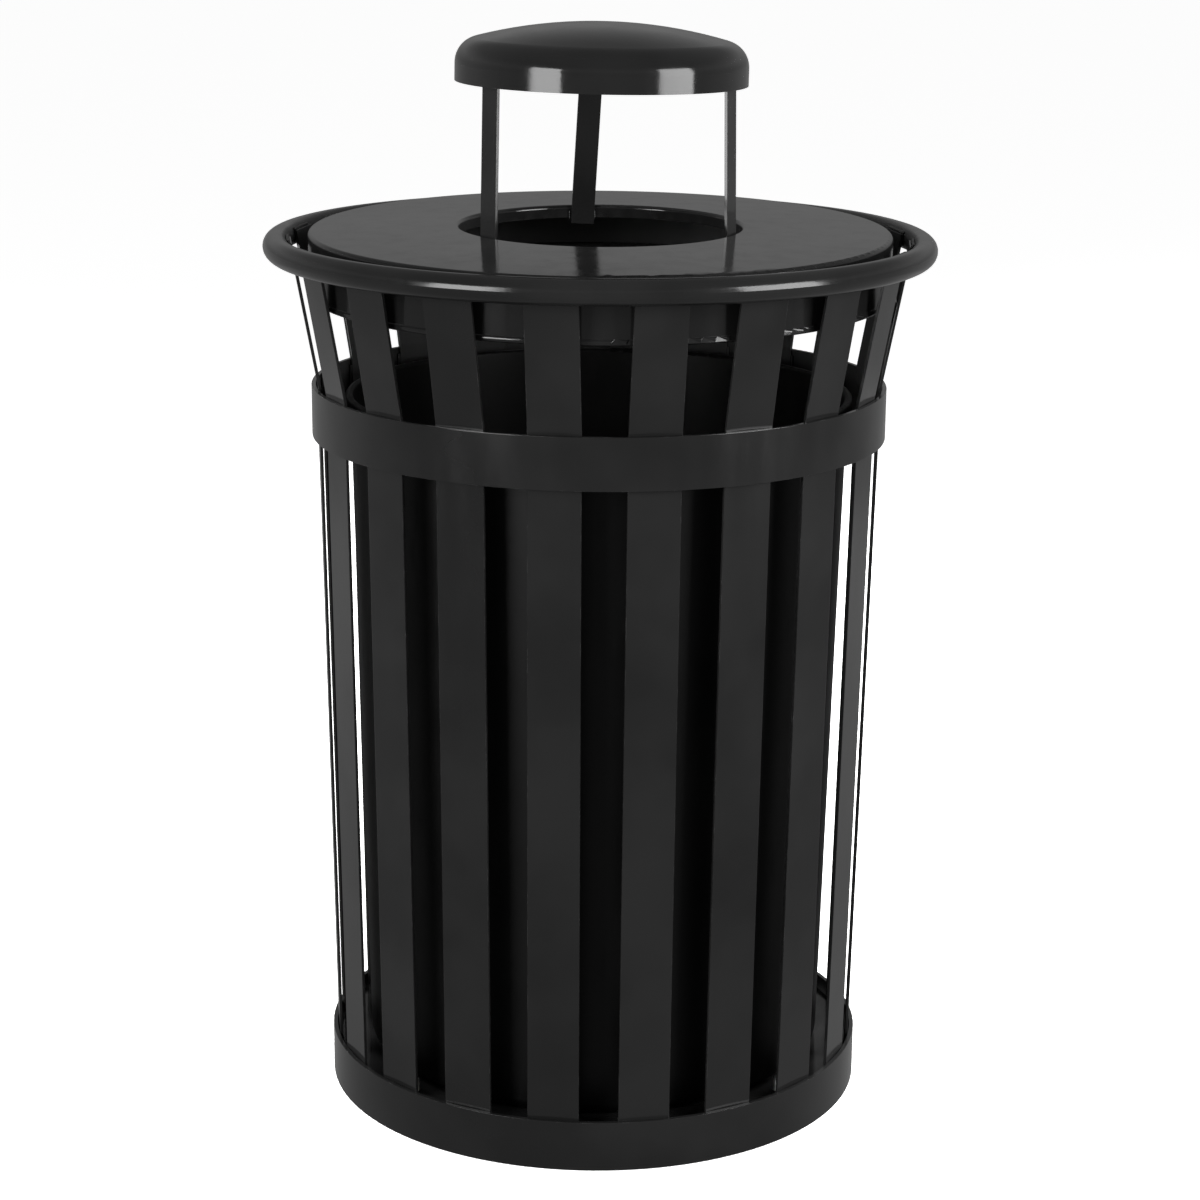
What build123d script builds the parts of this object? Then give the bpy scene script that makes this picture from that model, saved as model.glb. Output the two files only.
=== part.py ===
from build123d import *
import os
from math import atan2, cos, degrees, radians, sin, sqrt, tan

# A round slatted litter bin with a loose plastic liner, a lift-off lid and a rain cap.
# Millimetres. +Z is up and the ground is Z = 0. The bin's axis is the Z axis.
# The front faces -Y. Bearings are degrees from the front, turning towards +X.

# ---- Driving sizes -------------------------------------------------------------------

RING_DIA = 711.2            # over the tube of the top ring, 28 in
RING_TUBE_DIA = 26.7        # 3/4 in pipe
RING_TUBE_WALL = 2.9
RING_Z = 928.5              # centre of the tube above the ground

HOOP_BAR = 4.8              # thickness of both flat hoops, 3/16 in
HOOP_HEIGHT = 54.0
MID_HOOP_DIA = 613.8
MID_HOOP_Z = 727.5          # lower edge
BASE_HOOP_DIA = 587.4

SLAT_COUNT = 20
SLAT_WIDTH = 54.0
SLAT_BAR = 3.2
SLAT_START = -7.8           # even bearing of the first slat
SLAT_DRIFT = 3.0            # most that a slat stands off its even bearing, away from the front
SLAT_DRIFT_CENTRE = 1.0     # bearing from which the slats drift apart
SLAT_FOOT_Z = 3.0
SLAT_TOP_Z = 935.0
SLAT_BEND_ABOVE_HOOP = 2.0
SLAT_BEND_R = 20.0
WELD_GAP = 0.05             # left between welded pieces so that they touch without overlap

FLOOR_TOP_Z = 42.0
FLOOR_BAR = 3.0
ANCHOR_HOLE_R = 7.0
DRAIN_HOLE_R = 6.0
DRAIN_CIRCLE_R = 150.0
DRAIN_COUNT = 4
STUD_HOLE_R = 6.0

REST_SLATS = (0, 5, 10, 15)  # slats that carry a rest for the lid
REST_WIDTH = 30.0
REST_DROP = 22.0
REST_BAR = 3.0
REST_INNER_R = 297.0

FOOT_SLATS = (3, 8, 13, 18)  # slats with a levelling foot behind them
FOOT_CIRCLE_R = 266.0
STUD_R = 5.0
STUD_FOOT_Z = 5.0
STUD_TOP_Z = 56.0
COLLAR_FLATS = 17.0
COLLAR_HEIGHT = 5.0
NUT_FLATS = 17.0
NUT_HEIGHT = 10.0
THREAD_GAP = 0.05
PAD_BASE_R = 14.0
PAD_TOP_R = 10.0
PAD_BASE_Z = 1.0
PAD_TOP_Z = 9.0

LINER_WALL = 3.5
LINER_BASE_R = 250.6        # outside, at the floor
LINER_MOUTH_R = 266.2       # outside, just under the rim
LINER_TOP_Z = 771.0
LINER_CORNER_R = 12.0
LINER_RIM_R = 271.2
LINER_RIM_DROP = 13.0
LINER_RIM_BEND_R = 2.4
STANDING_GAP = 0.3          # under what stands loose on another piece

LID_SHEET = 1.9
LID_R = 309.0
LID_EDGE_Z = 943.3          # top face where the crown meets the rounded edge
LID_CROWN_RISE = 5.3        # from the edge to the throw hole
LID_EDGE_BEND_R = 4.0
LID_SKIRT_Z = 876.2         # underside of the hem
LID_SKIRT_DRAFT = 2.0       # how far the skirt draws in towards its hem
LID_HEM_R = 3.6
LID_TILT = 1.0              # degrees, front low, as the lid stands on its rests
HOLE_R = 149.5              # inside the turned-down flange of the throw hole
HOLE_FLANGE_DEPTH = 12.7
HOLE_BEND_R = 3.0

STRAP_BEARINGS = (-51.3, 66.6, 188.0)
STRAP_LEANS = (0.0, 0.0, 3.0)   # sideways lean of each strap about its foot, degrees
STRAP_WIDTH = 25.4
STRAP_BAR = 3.2
STRAP_FOOT_Z = 931.0
STRAP_FOOT_GAP = 0.3        # to the tilted flange of the throw hole, filled by the weld
STRAP_TOP_R = 144.8         # outer face, at the top end
STRAP_TOP_GAP = 0.8         # under the dome, filled by the weld

CAP_R = 153.6
CAP_SHEET = 1.9
CAP_RIM_Z = 1097.4
CAP_SKIRT = 18.2            # straight part, below the shoulder
CAP_SHOULDER_R = 27.0
CAP_APEX_Z = 1159.4
CAP_TILT = 0.75             # degrees, right side low, as the cap sits on its straps

# ---- Worked-out sizes ----------------------------------------------------------------

RING_TUBE_R = RING_TUBE_DIA / 2
RING_CENTRE_R = RING_DIA / 2 - RING_TUBE_R
MID_HOOP_R = MID_HOOP_DIA / 2
BASE_HOOP_R = BASE_HOOP_DIA / 2
SLAT_PITCH = 360 / SLAT_COUNT
BEND_Z = MID_HOOP_Z + HOOP_HEIGHT + SLAT_BEND_ABOVE_HOOP


def chord_face(circle_r, width):
    """Distance from the axis to a flat bar whose two corners just touch the circle."""
    return sqrt(circle_r ** 2 - (width / 2) ** 2)


BASE_FACE_R = chord_face(BASE_HOOP_R - HOOP_BAR - WELD_GAP, SLAT_WIDTH)
BEND_FACE_R = chord_face(MID_HOOP_R - HOOP_BAR - WELD_GAP, SLAT_WIDTH)
LOWER_SLOPE = (BEND_FACE_R - BASE_FACE_R) / (BEND_Z - HOOP_HEIGHT)
RING_INNER_R = RING_CENTRE_R - RING_TUBE_R
FLARE = atan2(chord_face(RING_INNER_R, SLAT_WIDTH) - BEND_FACE_R, RING_Z - BEND_Z)
RING_TOUCH_R = RING_CENTRE_R - (RING_TUBE_R + WELD_GAP) / cos(FLARE)
UPPER_SLOPE = (chord_face(RING_TOUCH_R, SLAT_WIDTH) - BEND_FACE_R) / (RING_Z - BEND_Z)
FLOOR_R = BASE_FACE_R - LOWER_SLOPE * (HOOP_HEIGHT - FLOOR_TOP_Z) - SLAT_BAR - WELD_GAP
LINER_BASE_Z = FLOOR_TOP_Z + STANDING_GAP
CAP_SHOULDER_Z = CAP_RIM_Z + CAP_SKIRT


def slat_face_r(z):
    """Distance from the axis to the outer face of a slat at height z."""
    if z < BEND_Z:
        return BEND_FACE_R - LOWER_SLOPE * (BEND_Z - z)
    return BEND_FACE_R + UPPER_SLOPE * (z - BEND_Z)


def slat_bearing(index):
    """Bearing of a slat: they stand slightly wider apart at the front than at the back."""
    even = SLAT_START + index * SLAT_PITCH
    return even + SLAT_DRIFT * sin(radians(even - SLAT_DRIFT_CENTRE))


def radial_plane(bearing):
    """The plane through the axis at a bearing: its X points outwards and its Y points up."""
    a = radians(bearing)
    return Plane(origin=(0, 0, 0), x_dir=(sin(a), -cos(a), 0), z_dir=(-cos(a), -sin(a), 0))


def spot(bearing, radius):
    """X and Y of the point at a bearing and a distance from the axis."""
    a = radians(bearing)
    return (radius * sin(a), -radius * cos(a))


def rest_top_z(bearing):
    """Height of a lid rest, just under the tilted hem all across the rest's width."""
    pivot_drop = (LID_EDGE_Z - LID_SKIRT_Z) * cos(radians(LID_TILT))
    reach = (LID_R - LID_HEM_R) * cos(radians(bearing)) + REST_WIDTH / 2 * abs(sin(radians(bearing)))
    return LID_EDGE_Z - pivot_drop - reach * sin(radians(LID_TILT)) - STANDING_GAP


def finish(part, name):
    part.label = name
    export_step(part, f"parts/{name}.step")


# ---- Welded frame --------------------------------------------------------------------

def make_top_ring():
    with BuildPart() as top_ring:
        with BuildSketch(Plane.XZ):
            with Locations((RING_CENTRE_R, RING_Z)):
                Circle(RING_TUBE_R)
                Circle(RING_TUBE_R - RING_TUBE_WALL, mode=Mode.SUBTRACT)
        revolve(axis=Axis.Z)
    finish(top_ring.part, "top_ring")


def make_hoop(name, outer_r, base_z):
    with BuildPart() as hoop:
        with BuildSketch(Plane.XY.offset(base_z)):
            Circle(outer_r)
            Circle(outer_r - HOOP_BAR, mode=Mode.SUBTRACT)
        extrude(amount=HOOP_HEIGHT)
    finish(hoop.part, name)


def make_slat(index):
    centre = SLAT_BAR / 2
    foot = (slat_face_r(SLAT_FOOT_Z) - centre, SLAT_FOOT_Z)
    bend = (slat_face_r(BEND_Z) - centre, BEND_Z)
    top = (slat_face_r(SLAT_TOP_Z) - centre, SLAT_TOP_Z)
    with BuildPart() as slat:
        with BuildSketch(radial_plane(slat_bearing(index))):
            with BuildLine():
                FilletPolyline(foot, bend, top, radius=SLAT_BEND_R)
            trace(line_width=SLAT_BAR)
        extrude(amount=SLAT_WIDTH / 2, both=True)
    finish(slat.part, f"slat_{index + 1:02d}")


def make_floor_plate():
    with BuildPart() as floor_plate:
        with BuildSketch(Plane.XY.offset(FLOOR_TOP_Z - FLOOR_BAR)):
            Circle(FLOOR_R)
            Circle(ANCHOR_HOLE_R, mode=Mode.SUBTRACT)
            with PolarLocations(DRAIN_CIRCLE_R, DRAIN_COUNT):
                Circle(DRAIN_HOLE_R, mode=Mode.SUBTRACT)
            with Locations(*[spot(slat_bearing(i), FOOT_CIRCLE_R) for i in FOOT_SLATS]):
                Circle(STUD_HOLE_R, mode=Mode.SUBTRACT)
        extrude(amount=FLOOR_BAR)
    finish(floor_plate.part, "floor_plate")


def make_lid_rest(number, slat_index):
    """A bent tab on the inside of a slat: the lid's hem stands on its top leg."""
    bearing = slat_bearing(slat_index)
    top_z = rest_top_z(bearing)
    top_r = slat_face_r(top_z) - SLAT_BAR / cos(FLARE) - WELD_GAP
    low_r = top_r - REST_DROP * UPPER_SLOPE
    with BuildPart() as lid_rest:
        with BuildSketch(radial_plane(bearing)):
            with BuildLine():
                Polyline(
                    (top_r, top_z),
                    (REST_INNER_R, top_z),
                    (REST_INNER_R, top_z - REST_BAR),
                    (top_r - REST_BAR, top_z - REST_BAR),
                    (low_r - REST_BAR, top_z - REST_DROP),
                    (low_r, top_z - REST_DROP),
                    close=True,
                )
            make_face()
        extrude(amount=REST_WIDTH / 2, both=True)
    finish(lid_rest.part, f"lid_rest_{number}")


def make_foot_nuts():
    """Four nuts welded under the floor plate, one solid each."""
    with BuildPart() as foot_nuts:
        with BuildSketch(Plane.XY.offset(FLOOR_TOP_Z - FLOOR_BAR)):
            with Locations(*[spot(slat_bearing(i), FOOT_CIRCLE_R) for i in FOOT_SLATS]):
                RegularPolygon(NUT_FLATS / 2, 6, major_radius=False)
                Circle(STUD_R + THREAD_GAP, mode=Mode.SUBTRACT)
        extrude(amount=-NUT_HEIGHT)
    finish(foot_nuts.part, "foot_nuts")


# ---- Levelling feet ------------------------------------------------------------------

def make_foot(number, slat_index):
    place = spot(slat_bearing(slat_index), FOOT_CIRCLE_R)
    with BuildPart() as foot_stud:
        with BuildSketch(Plane.XY.offset(STUD_FOOT_Z)):
            with Locations(place):
                Circle(STUD_R)
        extrude(amount=STUD_TOP_Z - STUD_FOOT_Z)
        with BuildSketch(Plane.XY.offset(PAD_TOP_Z)):
            with Locations(place):
                RegularPolygon(COLLAR_FLATS / 2, 6, major_radius=False)
        extrude(amount=COLLAR_HEIGHT)
    finish(foot_stud.part, f"foot_stud_{number}")

    with BuildPart() as foot_pad:
        with BuildSketch(Plane.XY.offset(PAD_BASE_Z)):
            with Locations(place):
                Circle(PAD_BASE_R)
        with BuildSketch(Plane.XY.offset(PAD_TOP_Z)):
            with Locations(place):
                Circle(PAD_TOP_R)
        loft()
        with BuildSketch(Plane.XY.offset(STUD_FOOT_Z)):
            with Locations(place):
                Circle(STUD_R)
        extrude(amount=PAD_TOP_Z - STUD_FOOT_Z, mode=Mode.SUBTRACT)
    finish(foot_pad.part, f"foot_pad_{number}")


# ---- Liner ---------------------------------------------------------------------------

def make_liner():
    """A tapered plastic pail, whose wall turns out and down into a rim at the top."""
    half = LINER_WALL / 2
    rim_z = LINER_TOP_Z - half
    lip_r = LINER_RIM_R - half
    with BuildPart() as liner:
        with BuildSketch(Plane.XZ):
            with BuildLine():
                FilletPolyline(
                    (0, LINER_BASE_Z + half),
                    (LINER_BASE_R - half, LINER_BASE_Z + half),
                    (LINER_MOUTH_R - half, rim_z),
                    (lip_r, rim_z),
                    (lip_r, rim_z - LINER_RIM_DROP),
                    radius=[LINER_CORNER_R, LINER_RIM_BEND_R, LINER_RIM_BEND_R],
                )
            trace(line_width=LINER_WALL)
        revolve(axis=Axis.Z)
    finish(liner.part, "liner")


# ---- Lid -----------------------------------------------------------------------------

def make_lid():
    """A crowned sheet with a hemmed skirt and a throw hole with a turned-down flange."""
    half = LID_SHEET / 2
    hole_r = HOLE_R + half
    edge_r = LID_R - half
    edge_z = LID_EDGE_Z - half
    hole_z = edge_z + LID_CROWN_RISE
    hem = (LID_R - LID_HEM_R, LID_SKIRT_Z + LID_HEM_R)
    centre_rise = LID_CROWN_RISE / (1 - (hole_r / edge_r) ** 2)
    middle_r = (hole_r + edge_r) / 2
    middle_z = edge_z + centre_rise * (1 - (middle_r / edge_r) ** 2)
    with BuildPart() as lid_plate:
        with BuildSketch(Plane.XZ):
            with BuildLine() as path:
                Line((hole_r, hole_z - HOLE_FLANGE_DEPTH), (hole_r, hole_z))
                ThreePointArc((hole_r, hole_z), (middle_r, middle_z), (edge_r, edge_z))
                Line((edge_r, edge_z), (edge_r - LID_SKIRT_DRAFT, hem[1]))
                corners = path.vertices().filter_by_position(Axis.Y, edge_z - half, hole_z + half)
                fillet(corners.sort_by(Axis.X)[0], radius=HOLE_BEND_R)
                fillet(path.vertices().sort_by_distance((edge_r, edge_z))[0], radius=LID_EDGE_BEND_R)
            trace(line_width=LID_SHEET)
            with Locations(hem):
                Circle(LID_HEM_R)
        revolve(axis=Axis.Z)
    pivot = Axis((0, 0, LID_EDGE_Z), (1, 0, 0))
    finish(lid_plate.part.rotate(pivot, LID_TILT), "lid_plate")


def strap_top_z(bearing):
    """Height at which a strap's top corners come up under the dome's shoulder."""
    corner_r = sqrt(STRAP_TOP_R ** 2 + (STRAP_WIDTH / 2) ** 2)
    reach = corner_r - (CAP_R - CAP_SHOULDER_R)
    level = CAP_SHOULDER_Z + sqrt((CAP_SHOULDER_R - CAP_SHEET) ** 2 - reach ** 2)
    return level - STRAP_TOP_GAP - corner_r * sin(radians(bearing)) * tan(radians(CAP_TILT))


def make_strap(number, bearing, lean):
    """A flat bar that stands inside the throw hole and carries the rain cap."""
    foot_r = chord_face(HOLE_R - STRAP_FOOT_GAP, STRAP_WIDTH)
    top_z = strap_top_z(bearing)
    with BuildPart() as strap:
        with BuildSketch(radial_plane(bearing)):
            with BuildLine():
                Polyline(
                    (foot_r, STRAP_FOOT_Z),
                    (foot_r - STRAP_BAR, STRAP_FOOT_Z),
                    (STRAP_TOP_R - STRAP_BAR, top_z),
                    (STRAP_TOP_R, top_z),
                    close=True,
                )
            make_face()
        extrude(amount=STRAP_WIDTH / 2, both=True)
    pivot = Axis((0, 0, STRAP_FOOT_Z), (*spot(bearing, 1), 0))
    finish(strap.part.rotate(pivot, lean), f"cap_strap_{number}")


def make_rain_cap():
    """A dished dome with a rounded shoulder and a short straight skirt, pressed from one sheet."""
    half = CAP_SHEET / 2
    side_r = CAP_R - half
    bend_r = CAP_SHOULDER_R - half
    bend_centre_r = side_r - bend_r
    rise = CAP_APEX_Z - half - CAP_SHOULDER_Z
    crown_r = (bend_centre_r ** 2 + rise ** 2 - bend_r ** 2) / (2 * (rise - bend_r))
    crown_centre_z = CAP_APEX_Z - half - crown_r
    turn = degrees(atan2(CAP_SHOULDER_Z - crown_centre_z, bend_centre_r))
    with BuildPart() as rain_cap:
        with BuildSketch(Plane.XZ):
            with BuildLine():
                Line((side_r, CAP_RIM_Z), (side_r, CAP_SHOULDER_Z))
                CenterArc((bend_centre_r, CAP_SHOULDER_Z), bend_r, 0, turn)
                CenterArc((0, crown_centre_z), crown_r, turn, 90 - turn)
            trace(line_width=CAP_SHEET)
        revolve(axis=Axis.Z)
    pivot = Axis((0, 0, CAP_SHOULDER_Z), (0, 1, 0))
    finish(rain_cap.part.rotate(pivot, CAP_TILT), "rain_cap")


# ---- The whole bin -------------------------------------------------------------------

os.makedirs("parts", exist_ok=True)

make_top_ring()
make_hoop("mid_hoop", MID_HOOP_R, MID_HOOP_Z)
make_hoop("base_hoop", BASE_HOOP_R, 0)
for slat_index in range(SLAT_COUNT):
    make_slat(slat_index)
make_floor_plate()
for rest_number, rest_slat in enumerate(REST_SLATS, start=1):
    make_lid_rest(rest_number, rest_slat)
make_foot_nuts()
for foot_number, foot_slat in enumerate(FOOT_SLATS, start=1):
    make_foot(foot_number, foot_slat)
make_liner()
make_lid()
for strap_number, (strap_bearing, strap_lean) in enumerate(zip(STRAP_BEARINGS, STRAP_LEANS), start=1):
    make_strap(strap_number, strap_bearing, strap_lean)
make_rain_cap()
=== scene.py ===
import math
import random

import bmesh
import bpy
from mathutils import Matrix, Vector
from mathutils.bvhtree import BVHTree


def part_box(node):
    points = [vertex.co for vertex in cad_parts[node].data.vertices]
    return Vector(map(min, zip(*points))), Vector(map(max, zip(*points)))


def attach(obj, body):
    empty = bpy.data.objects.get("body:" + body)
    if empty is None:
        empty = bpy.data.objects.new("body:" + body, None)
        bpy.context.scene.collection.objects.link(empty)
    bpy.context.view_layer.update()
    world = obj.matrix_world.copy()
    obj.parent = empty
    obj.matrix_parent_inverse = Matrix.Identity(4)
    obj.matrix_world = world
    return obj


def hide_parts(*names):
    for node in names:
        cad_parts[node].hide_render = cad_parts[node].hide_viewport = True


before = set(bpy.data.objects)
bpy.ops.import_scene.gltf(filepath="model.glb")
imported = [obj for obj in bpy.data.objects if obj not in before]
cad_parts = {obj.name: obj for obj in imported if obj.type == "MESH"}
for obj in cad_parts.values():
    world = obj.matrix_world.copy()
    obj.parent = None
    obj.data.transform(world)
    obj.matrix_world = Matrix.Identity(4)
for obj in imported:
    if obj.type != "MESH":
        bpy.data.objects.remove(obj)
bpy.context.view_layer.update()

# A round slatted litter bin. Metres, +Z up, the ground at Z = 0 and the front facing -Y.
# Bearings are in degrees from the front, turning towards +X.

# ---- Camera --------------------------------------------------------------------------

CAMERA_PLACE = (0.0, -3.0692, 1.3446)
CAMERA_LENS_MM = 87.085
CAMERA_SENSOR_MM = 36.0
CAMERA_TURN = 0.001         # radians, to the right
CAMERA_PITCH = 0.2569       # radians, down
CAMERA_ROLL = 0.0091        # radians, anticlockwise
CAMERA_REACH = 200.0

# ---- Studio --------------------------------------------------------------------------

FLOOR_R = 60.0
FLOOR_SIDES = 64
# The paper that the camera sees, and the duller floor that the bin is lit by and reflects.
PAPER_TONE, PAPER_GLOW = 0.80, 0.80
GROUND_TONE, GROUND_GLOW = 0.02, 0.22
GROUND_DROP = 0.001         # the ground lies this far under the paper

LIGHT_DISTANCE = 3.0
# bearing, width, lowest z, highest z, radiance, seen in reflections
SOFTBOXES = {
    "softbox_left": (-43.0, 1.30, 0.50, 2.10, 12.0, True),
    "softbox_right": (59.0, 1.55, 0.60, 2.30, 12.0, True),
    "softbox_rear_left": (-128.0, 1.60, 0.40, 2.40, 26.0, False),
    "softbox_rear_right": (136.0, 1.60, 0.40, 2.40, 34.0, False),
}

# Radiance of the surroundings against the sine of the height above the horizon.
SKY = (
    (0.00, 0.20),
    (0.06, 0.18),
    (0.24, 0.31),
    (0.50, 0.17),
    (1.00, 0.24),
)

# ---- Finishes ------------------------------------------------------------------------

# tone, roughness, IOR and strength of the orange peel
FRAME_COAT = (0.0122, 0.14, 1.40, 0.30)
LID_COAT = (0.0100, 0.12, 1.40, 0.22)
WORN_COAT_TONE = 0.060
WORN_EDGE = 0.0009          # how far from an edge the coat wears
THIN_COAT_ROUGH = 0.45      # added to the roughness of the coat inside the bin
HOLE_SURROUND = (0.03, 0.05)    # the thin coat begins between these distances outside the throw hole

EDGE_ROUND = 0.0005         # radius of the painted edges of bar and sheet
EDGE_SEGMENTS = 2
SHARP_ANGLE = 30.0          # degrees between faces that are rounded
WELD_REACH = 1e-6           # joins the vertices that the import split along sharp edges
SMOOTH_NODES = ("top_ring", "rain_cap")     # turned all over, with no edge to round

# ---- Sizes of bar and sheet, as in the CAD model ---------------------------------------

SLAT_WIDTH = 0.054
HOOP_BAR = 0.0048
REST_WIDTH = 0.030
REST_COUNT = 4
STRAP_WIDTH = 0.0254
STRAP_COUNT = 3
HOLE_R = 0.1495
FOOT_COUNT = 4

# ---- Weld beads ----------------------------------------------------------------------

BEAD_SEED = 12
BEAD_SIDES = 8
BEAD_STEP = 0.0006          # between the rings of vertices
BEAD_RIPPLE_PITCH = 0.0024
BEAD_RIPPLE = 0.10          # height of the ripples, as a share of the bead's radius
BEAD_SPREAD = 0.08          # how much the beads' radii differ, as a share
BEAD_END = 0.04             # square of the share of the radius that is left at the very end

UNDER_RING_BEAD_R = 0.0022
UNDER_RING_DROP = 0.42      # below the tube's centre, as a share of the tube's radius
UNDER_RING_OUT = 0.0013     # from the slat's outer face to the bead's centre
OVER_RING_BEAD_R = 0.0019
OVER_RING_OUT = 0.0006
OVER_RING_RISE = 0.0006     # above the slat's top end
RING_BEAD_INSET = 0.002     # from the slat's edges to the bead's ends

HOOP_BEAD_R = 0.0017
HOOP_BEAD_SIDE = 0.0009     # from the slat's edge
HOOP_BEAD_IN = 0.0012       # from the hoop's inner face
HOOP_BEAD_ENDS = (0.016, 0.006)     # from the hoop's lower edge and from its upper edge

FLOOR_BEAD_R = 0.0021
FLOOR_BEAD_HALF = 0.019
FLOOR_BEAD_DROP = 0.0008
FLOOR_BEAD_IN = 0.0010

REST_BEAD_R = 0.0016
REST_BEAD_SIDE = 0.0008
REST_BEAD_IN = 0.0008
REST_BEAD_ENDS = (0.002, 0.004)     # from the rest's lower end and from its top
REST_PROBE_INSET = 0.001

STRAP_BEAD_R = 0.0013
STRAP_BEAD_SIDE = 0.0009
STRAP_BEAD_IN = 0.0010      # from the wall of the throw hole
STRAP_BEAD_SPAN = (0.0045, 0.0150)  # above the strap's foot
STRAP_TOP_BEAD_R = 0.0014
STRAP_TOP_OUT = 0.0005      # from the strap's outer and inner face
STRAP_TOP_DROP = 0.0004

# ---- Threads of the levelling feet -----------------------------------------------------

THREAD_PITCH = 0.0015
THREAD_ROOT_R = 0.0041
THREAD_CREST_R = 0.0050
THREAD_SIDES = 24
THREAD_ROWS = 6             # rows of vertices for each turn
THREAD_SLOPE = 1.35         # above 1, it leaves a flat on the crest
THREAD_FLAT = 0.10          # cut off the bottom, it leaves a flat in the root
COLLAR_FLATS = 0.017
COLLAR_LOW_Z = 0.009
COLLAR_HIGH_Z = 0.014
COLLAR_CHAMFER = 0.0007
COLLAR_FACE = 1.01          # radius of the chamfered ends, as a share of half the flats
COLLAR_SIDES = 72


def bearing_vector(bearing, radius=1.0, z=0.0):
    a = math.radians(bearing)
    return Vector((radius * math.sin(a), -radius * math.cos(a), z))


# ---- Node helpers --------------------------------------------------------------------

class Nodes:
    """A short way to write a node tree: add nodes, set their inputs, link them."""

    def __init__(self, tree):
        self.tree = tree
        tree.nodes.clear()

    def add(self, kind, settings=None, **inputs):
        node = self.tree.nodes.new(kind)
        for name, value in (settings or {}).items():
            setattr(node, name, value)
        for name, value in inputs.items():
            self.put(node, name.replace("_", " "), value)
        return node

    def put(self, node, name, value):
        if isinstance(value, bpy.types.NodeSocket):
            self.tree.links.new(value, node.inputs[name])
        else:
            node.inputs[name].default_value = value

    def math(self, operation, a, b):
        node = self.tree.nodes.new("ShaderNodeMath")
        node.operation = operation
        self.put(node, 0, a)
        self.put(node, 1, b)
        return node.outputs[0]

    def vector(self, operation, output, a, b=None):
        node = self.tree.nodes.new("ShaderNodeVectorMath")
        node.operation = operation
        self.put(node, 0, a)
        if b is not None:
            self.put(node, 1, b)
        return node.outputs[output]

    def noise(self, coords, scale, detail=2.0, rough=0.5):
        node = self.add("ShaderNodeTexNoise", Vector=coords, Scale=scale, Detail=detail, Roughness=rough)
        return node.outputs["Fac"]

    def stretched_noise(self, coords, stretch, **noise):
        place = self.add("ShaderNodeMapping", Vector=coords, Scale=stretch)
        return self.noise(place.outputs["Vector"], **noise)

    def remap(self, value, source, target=(0.0, 1.0)):
        node = self.add("ShaderNodeMapRange", {"interpolation_type": "SMOOTHSTEP"}, Value=value,
                        From_Min=source[0], From_Max=source[1], To_Min=target[0], To_Max=target[1])
        return node.outputs["Result"]

    def mix(self, factor, a, b):
        node = self.tree.nodes.new("ShaderNodeMix")
        node.data_type = "RGBA"
        for name, value in (("Factor_Float", factor), ("A_Color", a), ("B_Color", b)):
            socket = next(s for s in node.inputs if s.identifier == name)
            if isinstance(value, bpy.types.NodeSocket):
                self.tree.links.new(value, socket)
            else:
                socket.default_value = value
        return next(s for s in node.outputs if s.identifier == "Result_Color")

    def object_coords(self):
        return self.add("ShaderNodeTexCoord").outputs["Object"]

    def face_normal(self):
        return self.add("ShaderNodeNewGeometry").outputs["Normal"]

    def surface(self, height, bump_strength, bump_distance, **inputs):
        """The shader of a finish, with its bump, on the material's output."""
        bump = self.add("ShaderNodeBump", Strength=bump_strength, Distance=bump_distance, Height=height)
        shader = self.add("ShaderNodeBsdfPrincipled", Normal=bump.outputs["Normal"], **inputs)
        self.add("ShaderNodeOutputMaterial", Surface=shader.outputs["BSDF"])


def grey(level):
    return (level, level, level, 1.0)


def new_material(name):
    """The imported material of that name, or a new one, with an empty node tree."""
    found = bpy.data.materials.get(name)
    material = found or bpy.data.materials.new(name)
    material.use_nodes = True
    return material, Nodes(material.node_tree)


# ---- Finishes ------------------------------------------------------------------------

def edge_mask(n, radius):
    """1 where a surface turns within the radius, 0 on flat areas."""
    bevel = n.add("ShaderNodeBevel", {"samples": 4}, Radius=radius)
    straight = n.vector("DOT_PRODUCT", "Value", bevel.outputs["Normal"], n.face_normal())
    return n.remap(straight, source=(0.995, 0.93))


def inner_side(n, coords):
    """1 on faces that look towards the bin's axis, away from the throw hole, where the coat is thin."""
    level = n.vector("MULTIPLY", "Vector", coords, (1.0, 1.0, 0.0))
    reach = n.vector("LENGTH", "Value", level)
    outward = n.vector("NORMALIZE", "Vector", level)
    facing_out = n.vector("DOT_PRODUCT", "Value", outward, n.face_normal())
    facing_in = n.remap(facing_out, source=(-0.4, -0.8))
    near, far = HOLE_SURROUND
    outside_hole = n.remap(reach, source=(HOLE_R + near, HOLE_R + far))
    return n.math("MULTIPLY", facing_in, outside_hole)


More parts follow.
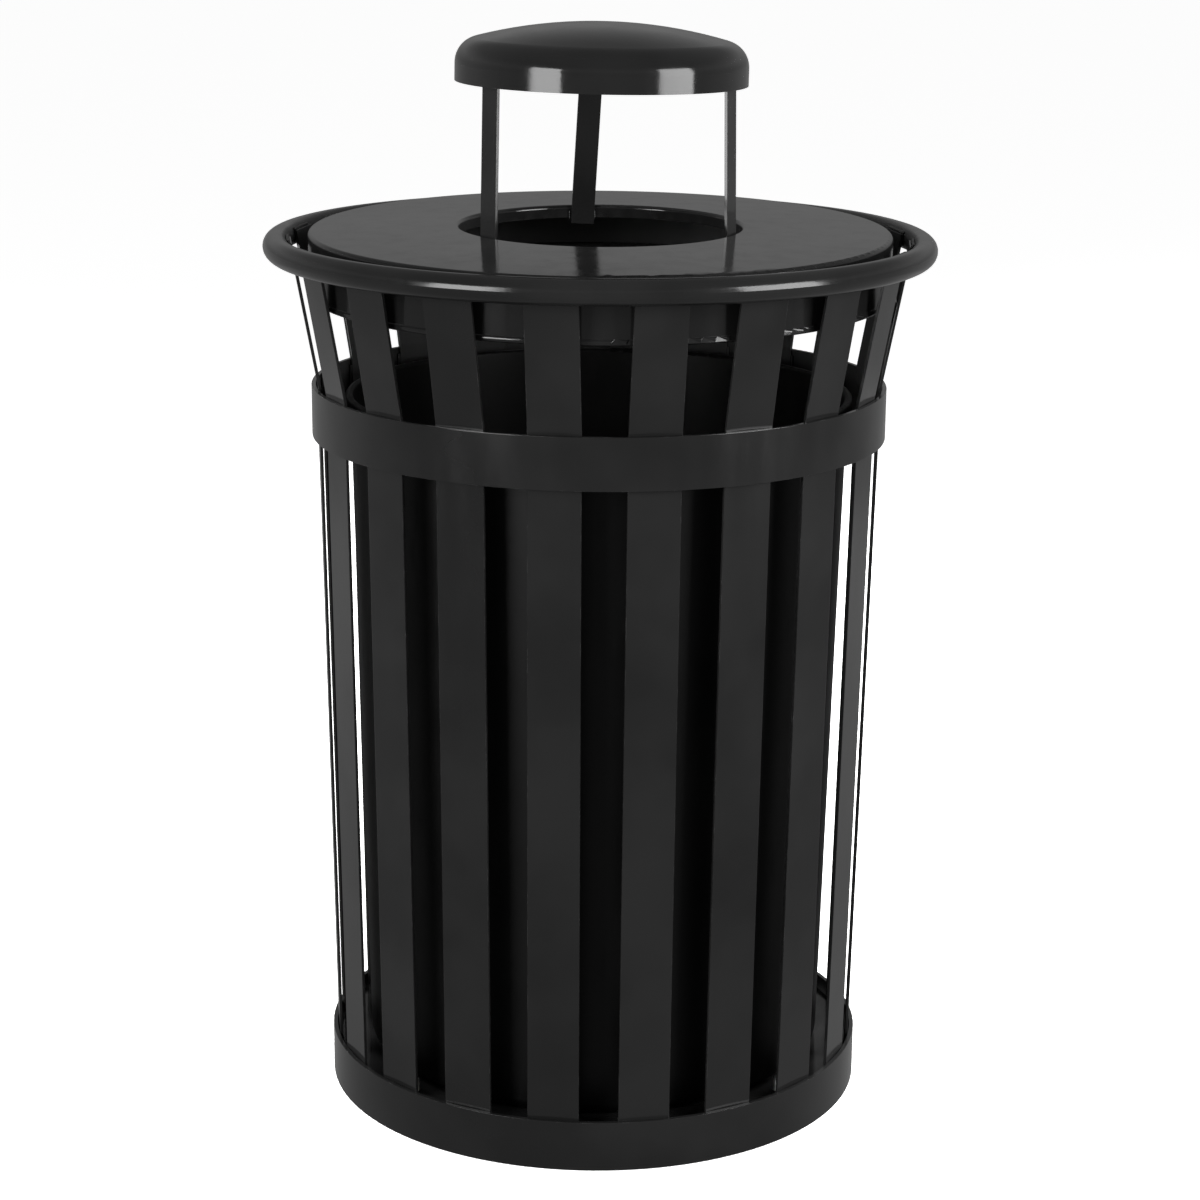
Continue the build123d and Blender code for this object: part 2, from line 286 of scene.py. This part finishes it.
def powder_coat(name, tone, gloss, ior, peel):
    """Gloss black powder coat: orange peel, uneven gloss, worn edges and a thin coat on the inside."""
    material, n = new_material(name)
    coords = n.object_coords()
    cloud = n.noise(coords, scale=5.0, detail=3.0, rough=0.55)
    streak = n.stretched_noise(coords, (9.0, 9.0, 1.6), scale=4.0, detail=4.0, rough=0.6)
    grain = n.noise(coords, scale=1400.0)
    chips = n.remap(n.noise(coords, scale=38.0, detail=4.0, rough=0.6), source=(0.48, 0.66))
    wear = n.math("MULTIPLY", edge_mask(n, WORN_EDGE), chips)

    colour = n.mix(n.remap(cloud, source=(0.35, 0.65)), grey(tone * 0.8), grey(tone * 1.25))
    colour = n.mix(n.math("MULTIPLY", wear, 0.6), colour, grey(WORN_COAT_TONE))

    rough = n.math("ADD", n.remap(streak, source=(0.3, 0.7), target=(gloss - 0.03, gloss + 0.05)),
                   n.remap(grain, source=(0.35, 0.65), target=(-0.015, 0.015)))
    rough = n.math("ADD", rough, n.math("MULTIPLY", wear, 0.2))
    rough = n.math("ADD", rough, n.math("MULTIPLY", inner_side(n, coords), THIN_COAT_ROUGH))

    ripple = n.noise(coords, scale=230.0, detail=1.0, rough=0.4)
    fine = n.math("MULTIPLY", n.noise(coords, scale=900.0, detail=1.0), 0.2)
    n.surface(n.math("ADD", ripple, fine), bump_strength=peel, bump_distance=0.00012,
              Base_Color=colour, Roughness=rough, IOR=ior)
    return material


def polyethylene(name):
    """Moulded black plastic: a fine leathery grain, flow marks and scuffs."""
    material, n = new_material(name)
    coords = n.object_coords()
    scratches = n.stretched_noise(coords, (20.0, 20.0, 3.0), scale=5.0, detail=5.0, rough=0.65)
    scuff = n.remap(scratches, source=(0.55, 0.75))
    cloud = n.noise(coords, scale=7.0, detail=3.0)
    colour = n.mix(n.remap(cloud, source=(0.3, 0.7)), grey(0.0012), grey(0.0022))
    colour = n.mix(n.math("MULTIPLY", scuff, 0.35), colour, grey(0.005))
    rough = n.math("ADD", n.remap(cloud, source=(0.3, 0.7), target=(0.42, 0.50)),
                   n.math("MULTIPLY", scuff, 0.12))
    grain = n.noise(coords, scale=1100.0, detail=3.0, rough=0.6)
    n.surface(grain, bump_strength=0.35, bump_distance=0.00015,
              Base_Color=colour, Roughness=rough, IOR=1.45, Specular_IOR_Level=0.25)
    return material


def zinc_plate(name):
    """Bright zinc-plated steel, slightly blued and dulled in patches."""
    material, n = new_material(name)
    coords = n.object_coords()
    patch = n.noise(coords, scale=60.0, detail=4.0, rough=0.6)
    bluish, yellowish = (0.50, 0.51, 0.53, 1), (0.66, 0.65, 0.61, 1)
    colour = n.mix(n.remap(patch, source=(0.35, 0.65)), bluish, yellowish)
    rough = n.remap(patch, source=(0.3, 0.7), target=(0.24, 0.42))
    n.surface(n.noise(coords, scale=900.0), bump_strength=0.2, bump_distance=0.00005,
              Base_Color=colour, Roughness=rough, Metallic=1.0)
    return material


def moulded_rubber(name):
    """Matt black rubber with a slight bloom."""
    material, n = new_material(name)
    coords = n.object_coords()
    bloom = n.noise(coords, scale=90.0, detail=4.0, rough=0.6)
    colour = n.mix(n.remap(bloom, source=(0.4, 0.7)), grey(0.012), grey(0.030))
    rough = n.remap(bloom, source=(0.3, 0.7), target=(0.62, 0.80))
    n.surface(n.noise(coords, scale=1500.0), bump_strength=0.3, bump_distance=0.0001,
              Base_Color=colour, Roughness=rough, IOR=1.5)
    return material


# ---- Studio --------------------------------------------------------------------------

def make_camera():
    data = bpy.data.cameras.new("camera")
    data.lens = CAMERA_LENS_MM
    data.sensor_width = CAMERA_SENSOR_MM
    data.clip_end = CAMERA_REACH
    camera = bpy.data.objects.new("camera", data)
    turn = Matrix.Rotation(-CAMERA_TURN, 4, "Z")
    tilt = Matrix.Rotation(math.pi / 2 - CAMERA_PITCH, 4, "X")
    roll = Matrix.Rotation(CAMERA_ROLL, 4, "Z")
    camera.matrix_world = Matrix.Translation(CAMERA_PLACE) @ turn @ tilt @ roll
    bpy.context.scene.collection.objects.link(camera)
    bpy.context.scene.camera = camera
    bpy.context.scene.view_settings.view_transform = "Standard"


def make_sky():
    world = bpy.data.worlds.new("studio")
    world.use_nodes = True
    n = Nodes(world.node_tree)
    direction = n.add("ShaderNodeTexCoord").outputs["Generated"]
    height = n.add("ShaderNodeSeparateXYZ", Vector=direction).outputs["Z"]
    ramp = n.add("ShaderNodeValToRGB", Fac=height)
    stops = ramp.color_ramp.elements
    stops[0].position, stops[1].position = SKY[0][0], SKY[-1][0]
    for place, _ in SKY[1:-1]:
        stops.new(place)
    for stop, (_, level) in zip(stops, SKY):
        stop.color = grey(level)
    background = n.add("ShaderNodeBackground", Color=ramp.outputs["Color"])
    n.add("ShaderNodeOutputWorld", Surface=background.outputs["Background"])
    bpy.context.scene.world = world


def make_floor(name, tone, glow, z):
    """A flat disc, clear from below so that the underside can be looked at."""
    mesh = bpy.data.meshes.new(name)
    bm = bmesh.new()
    bmesh.ops.create_circle(bm, cap_ends=True, radius=FLOOR_R, segments=FLOOR_SIDES)
    bm.to_mesh(mesh)
    bm.free()
    floor = bpy.data.objects.new(name, mesh)
    floor.location.z = z
    bpy.context.scene.collection.objects.link(floor)
    material, n = new_material(name)
    sheet = n.add("ShaderNodeAddShader")
    n.put(sheet, 0, n.add("ShaderNodeBsdfDiffuse", Color=grey(tone)).outputs["BSDF"])
    n.put(sheet, 1, n.add("ShaderNodeEmission", Strength=glow).outputs["Emission"])
    side = n.add("ShaderNodeMixShader")
    n.put(side, 0, n.add("ShaderNodeNewGeometry").outputs["Backfacing"])
    n.put(side, 1, sheet.outputs["Shader"])
    n.put(side, 2, n.add("ShaderNodeBsdfTransparent").outputs["BSDF"])
    n.add("ShaderNodeOutputMaterial", Surface=side.outputs["Shader"])
    mesh.materials.append(material)
    return floor


def make_floors():
    paper = make_floor("paper", PAPER_TONE, PAPER_GLOW, 0.0)
    for use in ("glossy", "diffuse", "transmission", "shadow"):
        setattr(paper, "visible_" + use, False)
    ground = make_floor("ground", GROUND_TONE, GROUND_GLOW, -GROUND_DROP)
    ground.visible_camera = False


def make_softbox(name, bearing, width, low, high, radiance, mirrored):
    data = bpy.data.lights.new(name, "AREA")
    data.shape = "RECTANGLE"
    data.size = width
    data.size_y = high - low
    data.energy = radiance * math.pi * width * (high - low)
    light = bpy.data.objects.new(name, data)
    place = bearing_vector(bearing, LIGHT_DISTANCE, (low + high) / 2)
    facing = Vector((-place.x, -place.y, 0))
    light.rotation_euler = facing.to_track_quat("-Z", "Y").to_euler()
    light.location = place
    light.visible_camera = False
    light.visible_glossy = mirrored
    bpy.context.scene.collection.objects.link(light)


# ---- CAD nodes -----------------------------------------------------------------------

def round_edges(node):
    weld = node.modifiers.new("weld", "WELD")
    weld.merge_threshold = WELD_REACH
    bevel = node.modifiers.new("edges", "BEVEL")
    bevel.width = EDGE_ROUND
    bevel.segments = EDGE_SEGMENTS
    bevel.limit_method = "ANGLE"
    bevel.angle_limit = math.radians(SHARP_ANGLE)
    normals = node.modifiers.new("normals", "WEIGHTED_NORMAL")
    normals.keep_sharp = True


def finish_nodes():
    for name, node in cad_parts.items():
        for place in node.material_slots:
            place.material = finishes[place.material.name]
        if name not in SMOOTH_NODES:
            round_edges(node)


# ---- Mesh helpers --------------------------------------------------------------------

def skin(bm, loops):
    """A closed skin through loops of vertices that all have the same count."""
    for lower, upper in zip(loops, loops[1:]):
        for k in range(len(lower)):
            j = (k + 1) % len(lower)
            bm.faces.new((lower[k], lower[j], upper[j], upper[k]))
    bm.faces.new(list(reversed(loops[0])))
    bm.faces.new(loops[-1])


def new_piece(name, bm, body, slot):
    bmesh.ops.recalc_face_normals(bm, faces=bm.faces)
    mesh = bpy.data.meshes.new(name)
    bm.to_mesh(mesh)
    bm.free()
    mesh.shade_smooth()
    mesh.materials.append(finishes[slot])
    piece = bpy.data.objects.new(name, mesh)
    bpy.context.scene.collection.objects.link(piece)
    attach(piece, body)
    return piece


class Bar:
    """A flat bar of the CAD model, with places on it by distance out, step to the side and height."""

    def __init__(self, name):
        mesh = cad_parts[name].data
        self.points = [v.co.copy() for v in mesh.vertices]
        self.tree = BVHTree.FromPolygons(self.points, [f.vertices for f in mesh.polygons])
        centre = sum(self.points, Vector()) / len(self.points)
        self.out = Vector((centre.x, centre.y, 0)).normalized()
        self.side = Vector((-self.out.y, self.out.x, 0))
        self.low_z = min(p.z for p in self.points)
        self.top_z = max(p.z for p in self.points)

    def place(self, out, side, z):
        return self.out * out + self.side * side + Vector((0, 0, z))

    def outer(self, z, side=0.0):
        """Distance out of the bar's outer face, found from outside the bin."""
        outside = 0.5
        return self.tree.ray_cast(self.place(outside, side, z), -self.out)[0].dot(self.out)

    def inner(self, z):
        """Distance out of the bar's inner face, found from the bin's axis."""
        return self.tree.ray_cast(self.place(0, 0, z), self.out)[0].dot(self.out)


# ---- Weld beads ----------------------------------------------------------------------

def add_bead(bm, start, end, radius):
    """One weld bead: a rippled tube with rounded ends."""
    run = end - start
    length = run.length
    along = run.normalized()
    across = along.orthogonal().normalized()
    up = along.cross(across)
    phase = hand.uniform(0, 2 * math.pi)
    radius *= hand.uniform(1 - BEAD_SPREAD, 1 + BEAD_SPREAD)
    steps = round(length / BEAD_STEP)
    loops = []
    for step in range(steps + 1):
        s = length * step / steps
        into = min(1.0, min(s, length - s) / radius)
        round_end = math.sqrt(max(BEAD_END, 1 - (1 - into) ** 2))
        ripple = 1 + BEAD_RIPPLE * math.sin(2 * math.pi * s / BEAD_RIPPLE_PITCH + phase)
        loop = []
        for k in range(BEAD_SIDES):
            a = 2 * math.pi * k / BEAD_SIDES
            spoke = across * math.cos(a) + up * math.sin(a)
            loop.append(bm.verts.new(start + along * s + spoke * (radius * round_end * ripple)))
        loops.append(loop)
    skin(bm, loops)


def add_level_bead(bm, bar, out, half, z, radius):
    """A bead straight across a bar, to both sides of its middle."""
    add_bead(bm, bar.place(out, -half, z), bar.place(out, half, z), radius)


def make_ring_welds(slats):
    """Above and below the ring's tube, across each slat."""
    low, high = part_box("top_ring")
    tube_r = (high.z - low.z) / 2
    under_z = (high.z + low.z) / 2 - UNDER_RING_DROP * tube_r
    half = SLAT_WIDTH / 2 - RING_BEAD_INSET
    below_top = 0.001
    bm = bmesh.new()
    for slat in slats:
        add_level_bead(bm, slat, slat.outer(under_z) + UNDER_RING_OUT, half, under_z, UNDER_RING_BEAD_R)
        out = slat.outer(slat.top_z - below_top) + OVER_RING_OUT
        add_level_bead(bm, slat, out, half, slat.top_z + OVER_RING_RISE, OVER_RING_BEAD_R)
    new_piece("ring_welds", bm, "frame", "frame_coat")


def make_hoop_welds(slats):
    """Up both edges of each slat, inside both hoops."""
    bm = bmesh.new()
    for hoop in ("mid_hoop", "base_hoop"):
        low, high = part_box(hoop)
        low_z = low.z + HOOP_BEAD_ENDS[0]
        high_z = high.z - HOOP_BEAD_ENDS[1]
        inner_r = high.x - HOOP_BAR
        step = SLAT_WIDTH / 2 + HOOP_BEAD_SIDE
        out = math.sqrt((inner_r - HOOP_BEAD_IN) ** 2 - step ** 2)
        for slat in slats:
            for side in (-step, step):
                add_bead(bm, slat.place(out, side, low_z), slat.place(out, side, high_z), HOOP_BEAD_R)
    new_piece("hoop_welds", bm, "frame", "frame_coat")


def make_floor_welds(slats):
    """Under the floor plate's rim, across each slat."""
    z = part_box("floor_plate")[0].z - FLOOR_BEAD_DROP
    bm = bmesh.new()
    for slat in slats:
        add_level_bead(bm, slat, slat.inner(z) - FLOOR_BEAD_IN, FLOOR_BEAD_HALF, z, FLOOR_BEAD_R)
    new_piece("floor_welds", bm, "frame", "frame_coat")


def make_rest_welds():
    """Down both edges of each lid rest."""
    bm = bmesh.new()
    for number in range(1, REST_COUNT + 1):
        rest = Bar(f"lid_rest_{number}")
        low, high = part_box(f"lid_rest_{number}")
        low_z = low.z + REST_BEAD_ENDS[0]
        high_z = high.z - REST_BEAD_ENDS[1]
        for hand_side in (-1, 1):
            side = hand_side * (REST_WIDTH / 2 + REST_BEAD_SIDE)
            inset = hand_side * (REST_WIDTH / 2 - REST_PROBE_INSET)
            start = rest.place(rest.outer(low_z, inset) - REST_BEAD_IN, side, low_z)
            end = rest.place(rest.outer(high_z, inset) - REST_BEAD_IN, side, high_z)
            add_bead(bm, start, end, REST_BEAD_R)
    new_piece("lid_rest_welds", bm, "frame", "frame_coat")


def add_strap_foot_beads(bm, strap):
    """Up both edges of a strap, inside the throw hole."""
    foot_depth = 0.002
    foot = [p for p in strap.points if p.z < strap.low_z + foot_depth]
    middle = sum(foot, Vector()).dot(strap.side) / len(foot)
    step = STRAP_WIDTH / 2 + STRAP_BEAD_SIDE
    out = math.sqrt((HOLE_R - STRAP_BEAD_IN) ** 2 - step ** 2)
    low_z, high_z = (strap.low_z + rise for rise in STRAP_BEAD_SPAN)
    for side in (middle - step, middle + step):
        add_bead(bm, strap.place(out, side, low_z), strap.place(out, side, high_z), STRAP_BEAD_R)


def add_strap_top_beads(bm, strap):
    """Across the outer and the inner face of a strap's top end, under the dome."""
    top_depth, face_depth = 0.003, 0.0015
    ends = [p for p in strap.points if p.z > strap.top_z - top_depth]
    for face, shift in ((max, STRAP_TOP_OUT), (min, -STRAP_TOP_OUT)):
        face_out = face(p.dot(strap.out) for p in ends)
        edge = [p for p in ends if abs(p.dot(strap.out) - face_out) < face_depth]
        start = min(edge, key=lambda p: p.dot(strap.side))
        end = max(edge, key=lambda p: p.dot(strap.side))
        offset = strap.out * shift - Vector((0, 0, STRAP_TOP_DROP))
        add_bead(bm, start + offset, end + offset, STRAP_TOP_BEAD_R)


def make_strap_welds():
    bm = bmesh.new()
    for number in range(1, STRAP_COUNT + 1):
        strap = Bar(f"cap_strap_{number}")
        add_strap_foot_beads(bm, strap)
        add_strap_top_beads(bm, strap)
    new_piece("strap_welds", bm, "lid", "lid_coat")


# ---- Levelling feet ------------------------------------------------------------------

def turned_loop(bm, centre, z, radius, sides):
    """A loop of vertices round a vertical axis, at a radius that depends on the angle."""
    loop = []
    for k in range(sides):
        a = 2 * math.pi * k / sides
        r = radius(a)
        loop.append(bm.verts.new((centre.x + r * math.cos(a), centre.y + r * math.sin(a), z)))
    return loop


def thread_radius(rise, to_end):
    """The rolled thread's radius against the angle, at a height above its start, run out at both ends."""
    def radius(a):
        turn = (rise / THREAD_PITCH - a / (2 * math.pi)) % 1
        flank = min(1.0, max(0.0, THREAD_SLOPE * (1 - abs(2 * turn - 1)) - THREAD_FLAT))
        return min(THREAD_ROOT_R + (THREAD_CREST_R - THREAD_ROOT_R) * flank, THREAD_ROOT_R + to_end)
    return radius


def hexagon(a):
    sixth = math.pi / 3
    return COLLAR_FLATS / 2 / math.cos((a + sixth / 2) % sixth - sixth / 2)


def chamfered_hexagon(a):
    return min(hexagon(a), COLLAR_FLATS / 2 * COLLAR_FACE)


def make_threaded_stud(number):
    """A stud with a rolled thread and a chamfered hexagonal collar."""
    low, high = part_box(f"foot_stud_{number}")
    centre = (low + high) / 2
    length = high.z - low.z
    bm = bmesh.new()
    rows = round(length / THREAD_PITCH * THREAD_ROWS)
    loops = []
    for row in range(rows + 1):
        rise = length * row / rows
        radius = thread_radius(rise, min(rise, length - rise))
        loops.append(turned_loop(bm, centre, low.z + rise, radius, THREAD_SIDES))
    skin(bm, loops)
    collar = (
        (COLLAR_LOW_Z, chamfered_hexagon),
        (COLLAR_LOW_Z + COLLAR_CHAMFER, hexagon),
        (COLLAR_HIGH_Z - COLLAR_CHAMFER, hexagon),
        (COLLAR_HIGH_Z, chamfered_hexagon),
    )
    skin(bm, [turned_loop(bm, centre, z, radius, COLLAR_SIDES) for z, radius in collar])
    stud = new_piece(f"threaded_stud_{number}", bm, f"foot_{number}", "foot_steel")
    stud.data.set_sharp_from_angle(angle=math.radians(SHARP_ANGLE))
    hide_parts(f"foot_stud_{number}")


# ---- The scene -----------------------------------------------------------------------

make_camera()
make_sky()
make_floors()
for name, settings in SOFTBOXES.items():
    make_softbox(name, *settings)

finishes = {
    "frame_coat": powder_coat("frame_coat", *FRAME_COAT),
    "lid_coat": powder_coat("lid_coat", *LID_COAT),
    "liner_plastic": polyethylene("liner_plastic"),
    "foot_steel": zinc_plate("foot_steel"),
    "foot_rubber": moulded_rubber("foot_rubber"),
}
finish_nodes()

hand = random.Random(BEAD_SEED)
slats = [Bar(name) for name in sorted(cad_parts) if name.startswith("slat_")]
make_ring_welds(slats)
make_hoop_welds(slats)
make_floor_welds(slats)
make_rest_welds()
make_strap_welds()
for number in range(1, FOOT_COUNT + 1):
    make_threaded_stud(number)
